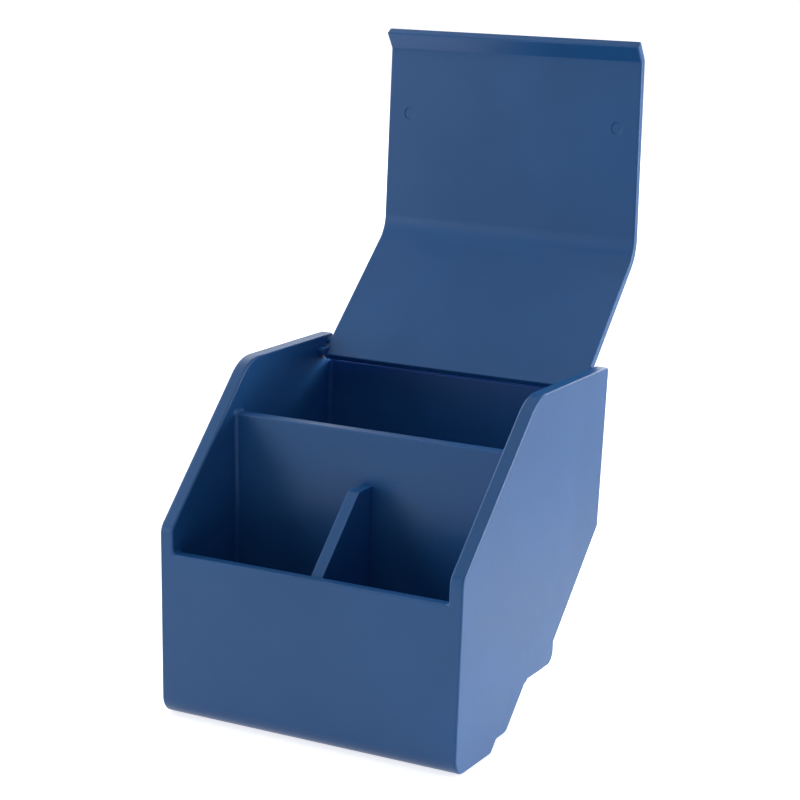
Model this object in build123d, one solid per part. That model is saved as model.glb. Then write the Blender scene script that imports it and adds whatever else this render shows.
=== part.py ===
from build123d import *
from math import atan2, cos, degrees, hypot, radians, sin, tan
import os

# A small desk organizer in two mouldings: a drafted body with two front compartments and one rear
# compartment, and a bent lid that hinges at the back on its own moulded pins.
# Millimetres and degrees. +Z is up, the low front wall faces -Y and X runs across the width.
# Outlines are drawn in the side view as (depth behind the front face, height above the foot, corner radius),
# and the finished pieces move so that the centre of the flat foot is the origin.

# ---- Body ----
body_width = 80.0           # across the side walls, at the height of their front corners
draft_angle = 0.92          # each side wall leans outwards towards the top
shoulder_height = 81.4      # level top of the side walls
slant_angle = 45.0
top_depth = 75.5            # front face to the back face at the shoulder's height
back_foot_depth = 74.0      # front face to the back face at its lower end
back_foot_height = 41.5     # the undercut meets the back face here
side_wall = 3.5
front_wall = 3.0
back_wall = 1.6
floor_wall = 3.0
front_wall_height = 40.4
front_corner_rise = 6.0     # from the front wall's top to where the side walls' front edges slant back
edge_radius = 0.5           # broken edges of the walls
shoulder_radius = 11.0      # as the outside of the lid's bend, which lies beside it when closed
front_corner_radius = 3.5
rear_corner_radius = 0.8

# ---- Stepped underside ----
foot_depth = 18.45          # front face to the rear edge of the foot
lower_tread_height = 2.6
lower_tread_depth = 5.8
upper_tread_height = 12.6
upper_tread_depth = 8.85
step_angle = 45.0           # risers between the treads
toe_radius = 4.65           # rounded front edge of the foot
heel_radius = 1.3
nose_radius = 3.2           # rounded front edge of the riser to the upper tread
lug_length = 5.9            # seat lug behind the upper tread
lug_radius = 2.9
relief_depth = 0.45         # the lug and the seat relief lie this far inside the side faces
relief_bulge = 1.6          # how far the relief's upper edge arches

# ---- Dividers ----
divider_depth = 31.1        # front face to the rear face of the full-width divider
divider_wall = 3.3
divider_height = 69.1
short_divider_wall = 3.0
short_divider_drop = 2.7    # its front end meets the front wall this far below the wall's top
short_divider_height = 56.2
short_divider_radius = 3.0
corner_radius = 1.0         # inside corners

# ---- Lid and hinge ----
lid_thickness = 2.2
lid_recess = 0.2            # the closed lid's outer face lies this far below the walls' level top
slant_stand = 0.3           # and this far in front of their slant
hinge_setback = 2.64        # hinge axis to the back face
axis_depth = 1.6            # hinge axis below the lid's outer face
tail_reach = 4.7            # lid behind the hinge axis, which swings down inside the body
swing_gap = 0.15            # the tail's swing to the back wall's top
lid_side_gap = 0.6
lid_taper_angle = 0.9       # each side edge runs inwards towards the lip
bend_radius = 8.8           # on the inner face, as is the fold's
fold_angle = 35.8           # the lip turns down from the front panel
fold_radius = 0.8
fold_overhang = 0.28        # closed lid's outer fold corner ahead of the front face
closing_gap = 0.2           # lip to the front wall's top
open_angle = 136.2          # from closed to open
pin_radius = 0.75
pin_clearance = 0.05
pin_end_gap = 0.3
socket_depth = 1.8
lid_edge_radius = 0.4
stop_gap = 0.1              # open lid's tail to the stop nubs
stop_length = 1.5           # front to rear along a nub's lower edge
stop_reach = 1.6            # how far a nub stands out from its side wall
stop_headroom = 0.5         # a nub's top to the closed lid
mark_radius = 1.5           # two ejector pin marks inside the front panel
mark_depth = 0.15
mark_spacing = 58.8
mark_to_fold = 16.6

clear = 20.0                # how far cutting shapes run past the body


# ---- Side-view geometry ----
def inset(corners, walls):
    """Move each corner of an outline inwards by the wall thickness of the edge before and after it."""
    moved = []
    for i, (depth, height) in enumerate(corners):
        before = corners[i - 1]
        after = corners[(i + 1) % len(corners)]
        run_in = hypot(depth - before[0], height - before[1])
        run_out = hypot(after[0] - depth, after[1] - height)
        way_in = ((depth - before[0]) / run_in, (height - before[1]) / run_in)
        way_out = ((after[0] - depth) / run_out, (after[1] - height) / run_out)
        turn = way_in[0] * way_out[1] - way_in[1] * way_out[0]
        along_out = walls[i - 1] / turn
        along_in = walls[i] / turn
        moved.append(
            (
                depth + along_out * way_out[0] - along_in * way_in[0],
                height + along_out * way_out[1] - along_in * way_in[1],
            )
        )
    return moved


def meet(start, angle, other, other_angle):
    """Where two side-view lines cross, each given by a point and an angle."""
    way = (cos(radians(angle)), sin(radians(angle)))
    other_way = (cos(radians(other_angle)), sin(radians(other_angle)))
    across_ways = way[0] * other_way[1] - way[1] * other_way[0]
    gap = (other[0] - start[0], other[1] - start[1])
    run = (gap[0] * other_way[1] - gap[1] * other_way[0]) / across_ways
    return (start[0] + run * way[0], start[1] + run * way[1])


def beside(point, angle, distance):
    """A side-view point moved squarely to the right of a direction."""
    return (point[0] + distance * sin(radians(angle)), point[1] - distance * cos(radians(angle)))


def section(*corners):
    """Side-view face through corners given as (depth, height, corner radius)."""
    face = make_face(Polyline(*[(depth, height) for depth, height, _ in corners], close=True))
    for depth, height, radius in corners:
        if radius > 0:
            face = fillet(face.vertices().sort_by_distance((depth, height))[0], radius)
    return Plane.YZ * face


def half_width(height):
    """From the middle to the outside of a side wall at a height."""
    return body_width / 2 + (height - front_corner_height) * tan(radians(draft_angle))


def between_sides(face, inside):
    """A side-view face run across the body, up to drafted planes that lie inside its outer side faces."""
    low = -clear
    high = shoulder_height + clear
    low_half = half_width(low) - inside
    high_half = half_width(high) - inside
    corners = [(-low_half, low), (low_half, low), (high_half, high), (-high_half, high)]
    front_view = make_face(Polyline(*corners, close=True))
    wedge = extrude(Plane.XZ * front_view, amount=top_depth + clear, both=True)
    return extrude(face, amount=body_width, both=True) & wedge


# ---- Places that several features share ----
riser_run = 1 / tan(radians(step_angle))
lower_tread_front = foot_depth + lower_tread_height * riser_run
lower_tread_rear = lower_tread_front + lower_tread_depth
upper_tread_front = lower_tread_rear + (upper_tread_height - lower_tread_height) * riser_run
upper_tread_rear = upper_tread_front + upper_tread_depth
front_corner_height = front_wall_height + front_corner_rise
shoulder_depth = (shoulder_height - front_corner_height) / tan(radians(slant_angle))
foot_middle = (toe_radius + foot_depth - heel_radius * tan(radians(step_angle / 2))) / 2

outer = [
    (0, 0),
    (foot_depth, 0),
    (lower_tread_front, lower_tread_height),
    (lower_tread_rear, lower_tread_height),
    (upper_tread_front, upper_tread_height),
    (upper_tread_rear, upper_tread_height),
    (back_foot_depth, back_foot_height),
    (top_depth, shoulder_height),
    (shoulder_depth, shoulder_height),
    (0, front_corner_height),
]
inner = inset(outer, [floor_wall] * 6 + [back_wall, 0, 0, front_wall])
mid_floor = inset(outer, [floor_wall / 2] * 6 + [back_wall / 2, 0, 0, front_wall / 2])
under_radii = [toe_radius, heel_radius, 0, nose_radius, 0, edge_radius, edge_radius]

hinge_depth = top_depth - hinge_setback
hinge_height = shoulder_height - lid_recess - axis_depth
socket_radius = pin_radius + pin_clearance
lean_angle = degrees(atan2(shoulder_height - back_foot_height, top_depth - back_foot_depth))
open_panel_angle = 180 - open_angle
lid_rear = (hinge_depth + tail_reach, hinge_height + axis_depth)
lid_rear_inside = beside(lid_rear, 0, lid_thickness)


# ---- Body ----
def side_walls():
    """The whole side outline at full width with its outer edges broken, less the space between the walls."""
    radii = under_radii + [rear_corner_radius, shoulder_radius, front_corner_radius]
    block = between_sides(section(*[(*corner, radius) for corner, radius in zip(outer, radii)]), 0)
    block = fillet(block.edges().filter_by(Axis.X, reverse=True), edge_radius)
    reach = 2 * (top_depth + shoulder_height)
    room = Plane.YZ * Rectangle(reach, reach)
    return block - between_sides(room, side_wall)


def wall_section():
    """Front wall, stepped floor, undercut and low back wall as one thin section, open at the top."""
    swing = hypot(tail_reach - lid_edge_radius, axis_depth - lid_edge_radius) + lid_edge_radius
    back_wall_top = (0, hinge_height - swing - swing_gap)
    back_outer_top = meet(outer[6], lean_angle, back_wall_top, 0)
    back_inner_top = meet(inner[6], lean_angle, back_wall_top, 0)
    under = [(*corner, radius) for corner, radius in zip(outer, under_radii)]
    over = [(*corner, corner_radius) for corner in reversed(inner[:7])]
    return section(
        *under,
        (*back_outer_top, edge_radius),
        (*back_inner_top, edge_radius),
        *over,
        (front_wall, front_wall_height, 0),
        (0, front_wall_height, 0),
    )


def dividers():
    """The full-width divider and the short one, which slopes up to it from the front wall."""
    front = divider_depth - divider_wall
    wide = section(
        (front, riser_height(front) + floor_wall / 2, 0),
        (divider_depth, riser_height(divider_depth) + floor_wall / 2, 0),
        (divider_depth, divider_height, edge_radius),
        (front, divider_height, edge_radius),
    )
    middle = divider_depth - divider_wall / 2
    low_end = front_wall_height - short_divider_drop
    bend = front_wall + (short_divider_height - low_end) / tan(radians(slant_angle))
    short = section(
        *[(*corner, 0) for corner in mid_floor[:4]],
        (middle, riser_height(middle) + floor_wall, 0),
        (middle, short_divider_height, 0),
        (bend, short_divider_height, short_divider_radius),
        (front_wall, low_end, 0),
        (mid_floor[0][0], low_end, 0),
    )
    return between_sides(wide, side_wall / 2) + extrude(short, amount=short_divider_wall / 2, both=True)


def riser_height(depth):
    """Height of the riser to the upper tread at a depth."""
    return lower_tread_height + (depth - lower_tread_rear) / riser_run


def seat_lug():
    """Bar behind the upper tread, rounded at its rear lower edge."""
    rear = upper_tread_rear + lug_length
    undercut_rise = (back_foot_height - upper_tread_height) / (back_foot_depth - upper_tread_rear)
    top = upper_tread_height + lug_length * undercut_rise
    bar = section(
        (upper_tread_rear, upper_tread_height, 0),
        (rear, upper_tread_height, lug_radius),
        (rear, top, 0),
        (rear, top + floor_wall / 2, 0),
        (upper_tread_rear, upper_tread_height + floor_wall / 2, 0),
    )
    return between_sides(bar, relief_depth)


def seat_relief():
    """Shallow step in both side faces along the second riser, with an arched upper edge."""
    low = (lower_tread_front, lower_tread_height)
    high = (upper_tread_front, upper_tread_height)
    length = hypot(high[0] - low[0], high[1] - low[1])
    crown = (
        (low[0] + high[0]) / 2 - relief_bulge * (high[1] - low[1]) / length,
        (low[1] + high[1]) / 2 + relief_bulge * (high[0] - low[0]) / length,
    )
    below = low[1] - clear
    edge = ThreePointArc(low, crown, high) + Polyline(high, (high[0], below), (low[0], below), low)
    strip = Plane.YZ * make_face(edge)
    return between_sides(strip, -clear) - between_sides(strip, relief_depth)


def stop_nubs():
    """A block on the inner face of each side wall, where the open lid's tail comes to rest."""
    reach = (lid_rear_inside[0] - hinge_depth, lid_rear_inside[1] - hinge_height)
    turn = radians(-open_angle)
    tail_end = (
        hinge_depth + reach[0] * cos(turn) - reach[1] * sin(turn),
        hinge_height + reach[0] * sin(turn) + reach[1] * cos(turn),
    )
    low = beside(tail_end, open_panel_angle, -stop_gap)
    top = lid_rear_inside[1] - stop_headroom
    high = meet(low, open_panel_angle, (0, top), 0)
    front = low[0] - stop_length
    block = section(
        (*low, edge_radius / 2),
        (*high, 0),
        (front, top, edge_radius),
        (front, low[1], edge_radius),
    )
    return between_sides(block, side_wall / 2) - between_sides(block, side_wall + stop_reach)


def hinge_sockets():
    """Blind bores that face each other across the body."""
    reach = half_width(hinge_height) - side_wall + socket_depth
    bore = Cylinder(socket_radius, 2 * reach, rotation=(0, 90, 0))
    return Pos(0, hinge_depth, hinge_height) * bore


def on_inside(edge):
    """Whether an edge lies on the inner face of a side wall."""
    middle = edge.center()
    return abs(abs(middle.X) - half_width(middle.Z) + side_wall) < edge_radius / 10


def on_rim(edge):
    """Whether a straight edge runs along the level top or the slant of the side walls."""
    middle = edge.center()
    below_slant = front_corner_height + middle.Y * tan(radians(slant_angle)) - middle.Z
    return min(abs(shoulder_height - middle.Z), abs(below_slant)) < edge_radius / 10


def on_front_wall(edge):
    """Whether an edge across the body lies on top of the front wall."""
    middle = edge.center()
    return abs(front_wall_height - middle.Z) < edge_radius / 10 and middle.Y < front_wall + edge_radius


def in_corner(edge):
    """Whether a straight edge stands upright where a wall or divider meets a side wall."""
    inside_depth = front_wall / 2 < edge.center().Y < back_foot_depth - back_wall / 2
    return inside_depth and abs(edge.tangent_at(0).Z) > cos(radians(slant_angle / 2))


body = side_walls() + between_sides(wall_section(), side_wall / 2) + dividers() + seat_lug()
inside_lines = body.edges().filter_by(GeomType.LINE).filter_by(on_inside)
front_wall_lines = body.edges().filter_by(Axis.X).filter_by(on_front_wall)
body = fillet(inside_lines.filter_by(on_rim) + front_wall_lines, edge_radius)
inside_lines = body.edges().filter_by(GeomType.LINE).filter_by(on_inside)
body = fillet(inside_lines.filter_by(in_corner), corner_radius)
body = body + stop_nubs() - seat_relief() - hinge_sockets()


# ---- Lid, closed ----
slant_rise = tan(radians(slant_angle))
lip_angle = slant_angle + fold_angle
slant_lift = slant_stand / cos(radians(slant_angle))
lid_fold = (-fold_overhang, front_corner_height - fold_overhang * slant_rise + slant_lift)
panel_inside = beside(lid_fold, slant_angle, lid_thickness)
fold_inside = meet(panel_inside, slant_angle, beside(lid_fold, lip_angle, lid_thickness), lip_angle)


def lid_section():
    """Hinge panel, bend, front panel and lip, equally thick all along."""
    tip_height = front_wall_height + closing_gap + lid_thickness * cos(radians(lip_angle))
    tip = meet(lid_fold, lip_angle, (0, tip_height), 0)
    return section(
        (*lid_rear, lid_edge_radius),
        (*meet(lid_rear, 0, lid_fold, slant_angle), bend_radius + lid_thickness),
        (*lid_fold, fold_radius + lid_thickness),
        (*tip, lid_edge_radius),
        (*beside(tip, lip_angle, lid_thickness), lid_edge_radius),
        (*fold_inside, fold_radius),
        (*meet(lid_rear_inside, 0, panel_inside, slant_angle), bend_radius),
        (*lid_rear_inside, lid_edge_radius),
    )


def lid_plate():
    """The lid's section run across, narrower towards the lip, with its side edges broken."""
    taper = tan(radians(lid_taper_angle))
    hinge_half = half_width(hinge_height) - side_wall - lid_side_gap
    front = -clear
    rear = hinge_depth + clear
    front_half = hinge_half - (hinge_depth - front) * taper
    rear_half = hinge_half + (rear - hinge_depth) * taper
    corners = [(-front_half, front), (front_half, front), (rear_half, rear), (-rear_half, rear)]
    outline = extrude(make_face(Polyline(*corners, close=True)), amount=shoulder_height + clear)
    plate = extrude(lid_section(), amount=body_width, both=True) & outline
    return fillet(plate.edges().filter_by(Axis.X, reverse=True), lid_edge_radius)


def hinge_pins():
    """A pin at each end of the lid's rear edge, chamfered where it snaps into its socket."""
    reach = half_width(hinge_height) - side_wall + socket_depth - pin_end_gap
    length = lid_side_gap + socket_depth
    pin = Cylinder(pin_radius, length, align=(Align.CENTER, Align.CENTER, Align.MAX))
    pin = chamfer(pin.faces().sort_by(Axis.Z)[-1].edges(), pin_radius / 3)
    place = Pos(0, hinge_depth, hinge_height)
    return [place * Rot(0, turn, 0) * Pos(0, 0, reach) * pin for turn in (-90, 90)]


def ejector_marks():
    """Shallow round marks near the top corners of the front panel's inner face."""
    depth = fold_inside[0] + mark_to_fold * cos(radians(slant_angle))
    height = fold_inside[1] + mark_to_fold * sin(radians(slant_angle))
    mark = Rot(slant_angle, 0, 0) * Cylinder(mark_radius, 2 * mark_depth)
    return [Pos(side * mark_spacing / 2, depth, height) * mark for side in (-1, 1)]


lid = lid_plate() + hinge_pins() - ejector_marks()
hinge = Axis((0, hinge_depth, hinge_height), (1, 0, 0))

# ---- Output, with the lid open ----
to_origin = Pos(0, -foot_middle, 0)
os.makedirs("parts", exist_ok=True)
export_step(to_origin * body, "parts/body.step")
export_step(to_origin * lid.rotate(hinge, -open_angle), "parts/lid.step")
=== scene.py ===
from math import cos, radians, sin

import bpy
from mathutils import Matrix, Vector

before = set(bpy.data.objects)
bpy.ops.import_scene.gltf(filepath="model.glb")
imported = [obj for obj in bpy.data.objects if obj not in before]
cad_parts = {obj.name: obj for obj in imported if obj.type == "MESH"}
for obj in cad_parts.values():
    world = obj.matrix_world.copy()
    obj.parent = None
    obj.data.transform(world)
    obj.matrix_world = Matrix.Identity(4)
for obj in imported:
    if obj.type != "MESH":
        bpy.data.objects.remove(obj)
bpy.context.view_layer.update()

# ---- Camera: metres and degrees ----
AIM = Vector((0.00186, 0.02872, 0.0749))    # above the middle of the body
DISTANCE = 0.53986
AZIMUTH = 28.09                             # to the right of the front
ELEVATION = 12.68
ROLL = 1.316
LENS_MM = 101.63                            # on the usual 36 mm wide sensor

# ---- Plastic: linear colour, sizes in metres ----
NAVY = (0.018, 0.12, 0.352)
REFRACTION = 1.5
SATIN_ROUGHNESS = 0.33
HANDLED_ROUGHNESS = 0.025                   # how far handling shifts it, either way
GRAIN_SIZE = 0.00035                        # eroded texture of the mould
GRAIN_DEPTH = 0.000006
GRAIN_STRENGTH = 0.7
FLOW_SIZE = 0.03                            # slow waves and cloudiness left by the melt
FLOW_DEPTH = 0.00008
FLOW_STRENGTH = 0.6
CLOUD_SHADES = (0.93, 1.06)                 # the cloudiness, as shares of the colour
HANDLING_SIZE = 0.005                       # patches that are rubbed more or less
HANDLING_SHARES = (0.4, 1)                  # how much of the rubbed look they keep
WORN_REACH = 0.0008                         # how far from an outer edge its rubbed look reaches
WORN_SHARE = 0.35                           # the most of the rubbed look that an edge takes
WORN_SHADE = 1.28                           # the rubbed look: a paler colour,
WORN_WHITE = 0.012                          # with a little white in it,
WORN_ROUGHNESS = 0.4                        # and this much more roughness
SOFT_EDGE = 0.0003                          # radius that the light sees on the sharp edges
CORNER_SHADE_REACH = 0.003                        # how far an inner corner gets painted shade on its gloss
CORNER_SHADED_GLOSS = (0.1, 0.4)

# ---- What the masks are read from ----
NOISE_SPAN = (0.3, 0.7)                     # where most of a noise's values lie
PATCH_SPAN = (0.35, 0.65)                   # the same, cut harder
FACE_TO_EDGE = (0.95, 0.55)                 # share of the ways into the plastic that stay in it
CORNER_TO_OPEN = (0.5, 0.95)                # share of the ways out that stay clear
MASK_SAMPLES = 8

# ---- Studio ----
WHITE = (1, 1, 1, 1)
WALL_LIGHT = 0.15                           # what the studio walls send the object
CEILING_SHARE = 0.15                        # how bright its ceiling is, against the walls
WALL_TO_CEILING = (0.5, 0.9)                # sines of the elevations where one fades to the other
FLOOR_HALF = 3.0
FLOOR_COLOUR = (0.8, 0.8, 0.8, 1)
FLOOR_ROUGHNESS = 0.9
FLOOR_LIFT = (0.75, 1.0)                    # makes the floor white: near the object and far off
FLOOR_LIFT_REACH = (0.3, 1.2)
MIRRORED_POOL_OF_LIGHT = (0.88, 0.15)                # the same in the plastic's gloss: a painted pool of light near the object
MIRRORED_REACH = (0.13, 0.3)
SOFTBOXES = [                               # name, azimuth, elevation, distance, side, watts
    ("left", -100.0, 16.0, 1.2, 2.0, 17.0),
    ("right", 118.0, 2.0, 1.2, 0.5, 13.2),
    ("rear", 180.0, 30.0, 1.2, 0.9, 8.0),
    ("top", 0.0, 80.0, 1.2, 0.9, 3.2),
    ("front_left", -48.0, 4.0, 1.2, 0.6, 2.5),
]


# ---- Shader nodes ----
def add(tree, kind, **values):
    """Add a shader node and set its properties and input sockets by name."""
    made = tree.nodes.new(kind)
    for name, value in values.items():
        socket = name.replace("_", " ")
        if socket in made.inputs:
            made.inputs[socket].default_value = value
        else:
            setattr(made, name, value)
    return made


def noise(tree, place, size, detail, distortion=0.0):
    """Noise over the surface whose features are about as large as the size in metres."""
    made = add(tree, "ShaderNodeTexNoise", Scale=1 / size, Detail=detail, Distortion=distortion)
    tree.links.new(place, made.inputs["Vector"])
    return made.outputs["Fac"]


def spread(tree, value, span, target):
    """Map a value from one range to another, held at its ends."""
    made = tree.nodes.new("ShaderNodeMapRange")
    tree.links.new(value, made.inputs["Value"])
    for socket, number in zip(("From Min", "From Max", "To Min", "To Max"), (*span, *target)):
        made.inputs[socket].default_value = number
    return made.outputs["Result"]


def combine(tree, operation, first, second):
    """Apply the named operation to a value and a second one, which is a socket or a number."""
    made = add(tree, "ShaderNodeMath", operation=operation)
    tree.links.new(first, made.inputs[0])
    if isinstance(second, float):
        made.inputs[1].default_value = second
    else:
        tree.links.new(second, made.inputs[1])
    return made.outputs[0]


def times(tree, first, second):
    return combine(tree, "MULTIPLY", first, second)


def larger(tree, first, second):
    return combine(tree, "MAXIMUM", first, second)


def blend(tree, share, first, second):
    """Mix two colours; each is a socket or a linear colour."""
    made = add(tree, "ShaderNodeMix", data_type="RGBA")
    tree.links.new(share, made.inputs["Factor"])
    for socket, colour in zip((made.inputs[6], made.inputs[7]), (first, second)):
        if isinstance(colour, tuple):
            socket.default_value = (*colour, 1)
        else:
            tree.links.new(colour, socket)
    return made.outputs[2]


def openness(tree, reach, inside=False):
    """Share of the ways out of a point, or into the plastic, that cross no surface within reach."""
    made = add(tree, "ShaderNodeAmbientOcclusion", samples=MASK_SAMPLES, inside=inside,
               only_local=True, Distance=reach)
    return made.outputs["AO"]


def relief(tree, height, depth, strength, normal):
    """Lay a height's small relief over a surface whose normal is given."""
    made = add(tree, "ShaderNodeBump", Strength=strength, Distance=depth)
    tree.links.new(height, made.inputs["Height"])
    tree.links.new(normal, made.inputs["Normal"])
    return made.outputs["Normal"]


# ---- Materials ----
def moulded_plastic(name, colour, roughness):
    """Satin moulded plastic: fine grain, faint clouds, pale rubbed edges, and painted shade that
    dims the gloss in inner corners.
    """
    material = bpy.data.materials.new(name)
    material.use_nodes = True
    tree = material.node_tree
    shader = tree.nodes["Principled BSDF"]
    place = tree.nodes.new("ShaderNodeTexCoord").outputs["Object"]
    grain = noise(tree, place, GRAIN_SIZE, detail=3)
    flow = noise(tree, place, FLOW_SIZE, detail=2, distortion=0.6)
    handling = noise(tree, place, HANDLING_SIZE, detail=5, distortion=1.2)

    pale = tuple(min(1, WORN_SHADE * c + WORN_WHITE) for c in colour)
    shades = [tuple(shade * c for c in colour) for shade in CLOUD_SHADES]
    clouded = blend(tree, spread(tree, flow, NOISE_SPAN, (0, 1)), *shades)
    edge = spread(tree, openness(tree, WORN_REACH, inside=True), FACE_TO_EDGE, (0, WORN_SHARE))
    rubbed = times(tree, edge, spread(tree, handling, PATCH_SPAN, HANDLING_SHARES))
    tree.links.new(blend(tree, rubbed, clouded, pale), shader.inputs["Base Color"])

    limits = (roughness - HANDLED_ROUGHNESS, roughness + HANDLED_ROUGHNESS)
    satin = spread(tree, handling, NOISE_SPAN, limits)
    dulled = combine(tree, "ADD", satin, times(tree, edge, WORN_ROUGHNESS))
    tree.links.new(dulled, shader.inputs["Roughness"])
    shader.inputs["IOR"].default_value = REFRACTION
    # Painted shade: the gloss is dimmed in inner corners, where their reflections would be shaded.
    corner_shaded_gloss = spread(tree, openness(tree, CORNER_SHADE_REACH), CORNER_TO_OPEN, CORNER_SHADED_GLOSS)
    tree.links.new(corner_shaded_gloss, shader.inputs["Specular IOR Level"])

    rounded = add(tree, "ShaderNodeBevel", samples=MASK_SAMPLES, Radius=SOFT_EDGE)
    waves = relief(tree, flow, FLOW_DEPTH, FLOW_STRENGTH, rounded.outputs["Normal"])
    skin = relief(tree, grain, GRAIN_DEPTH, GRAIN_STRENGTH, waves)
    tree.links.new(skin, shader.inputs["Normal"])
    return material


# ---- Studio ----
def seen(tree, direct, mirrored):
    """One value for rays by which the viewer sees the studio, another for those plastic mirrors."""
    rays = tree.nodes.new("ShaderNodeLightPath")
    open_view = larger(tree, rays.outputs["Is Camera Ray"], rays.outputs["Is Transmission Ray"])
    glossy = times(tree, rays.outputs["Is Glossy Ray"], mirrored)
    return larger(tree, times(tree, open_view, direct), glossy)


def floor():
    """Pale floor that shows white and keeps the object's soft shadow; to the plastic's gloss it
    glows as a painted pool of light.
    """
    signs = ((-1, -1), (1, -1), (1, 1), (-1, 1))
    corners = [(x * FLOOR_HALF, y * FLOOR_HALF, 0) for x, y in signs]
    mesh = bpy.data.meshes.new("floor")
    mesh.from_pydata(corners, [], [(0, 1, 2, 3)])
    obj = bpy.data.objects.new("floor", mesh)
    bpy.context.scene.collection.objects.link(obj)
    material = bpy.data.materials.new("floor")
    material.use_nodes = True
    tree = material.node_tree
    shader = tree.nodes["Principled BSDF"]
    shader.inputs["Base Color"].default_value = FLOOR_COLOUR
    shader.inputs["Roughness"].default_value = FLOOR_ROUGHNESS
    shader.inputs["Emission Color"].default_value = WHITE
    reach = add(tree, "ShaderNodeVectorMath", operation="LENGTH")
    tree.links.new(tree.nodes.new("ShaderNodeTexCoord").outputs["Object"], reach.inputs[0])
    direct = spread(tree, reach.outputs["Value"], FLOOR_LIFT_REACH, FLOOR_LIFT)
    # Painted light: a glowing pool around the object that only the plastic's reflections see.
    mirrored = spread(tree, reach.outputs["Value"], MIRRORED_REACH, MIRRORED_POOL_OF_LIGHT)
    tree.links.new(seen(tree, direct, mirrored), shader.inputs["Emission Strength"])
    mesh.materials.append(material)


def surround():
    """White studio walls under a dimmer ceiling; seen white, they light the object softly."""
    world = bpy.data.worlds.new("studio")
    bpy.context.scene.world = world
    world.use_nodes = True
    tree = world.node_tree
    way = add(tree, "ShaderNodeSeparateXYZ")
    tree.links.new(tree.nodes.new("ShaderNodeTexCoord").outputs["Generated"], way.inputs[0])
    height = spread(tree, way.outputs["Z"], WALL_TO_CEILING, (1, CEILING_SHARE))
    background = tree.nodes["Background"]
    background.inputs["Color"].default_value = WHITE
    strength = larger(tree, seen(tree, 1.0, height), times(tree, height, WALL_LIGHT))
    tree.links.new(strength, background.inputs["Strength"])


def direction(azimuth, elevation):
    """From the object towards an azimuth right of the front and an elevation."""
    a, e = radians(azimuth), radians(elevation)
    return Vector((sin(a) * cos(e), -cos(a) * cos(e), sin(e)))


def softbox(name, azimuth, elevation, distance, side, watts):
    """Square soft light that faces the aim."""
    data = bpy.data.lights.new(name, "AREA")
    data.size = side
    data.energy = watts
    obj = bpy.data.objects.new(name, data)
    bpy.context.scene.collection.objects.link(obj)
    way = direction(azimuth, elevation)
    obj.location = AIM + distance * way
    obj.rotation_euler = way.to_track_quat("Z", "Y").to_euler()


def camera():
    """The viewer's eye, slightly rolled."""
    back = direction(AZIMUTH, ELEVATION)
    right = Vector((cos(radians(AZIMUTH)), sin(radians(AZIMUTH)), 0))
    up = back.cross(right)
    roll = radians(ROLL)
    axes = Matrix((cos(roll) * right + sin(roll) * up, cos(roll) * up - sin(roll) * right, back))
    data = bpy.data.cameras.new("camera")
    data.lens = LENS_MM
    obj = bpy.data.objects.new("camera", data)
    bpy.context.scene.collection.objects.link(obj)
    obj.matrix_world = Matrix.Translation(AIM + DISTANCE * back) @ axes.transposed().to_4x4()
    bpy.context.scene.camera = obj


plastic = moulded_plastic("navy_plastic", NAVY, SATIN_ROUGHNESS)
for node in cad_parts.values():
    node.data.materials.clear()
    node.data.materials.append(plastic)
floor()
surround()
for light in SOFTBOXES:
    softbox(*light)
camera()
bpy.context.scene.view_settings.view_transform = "Standard"
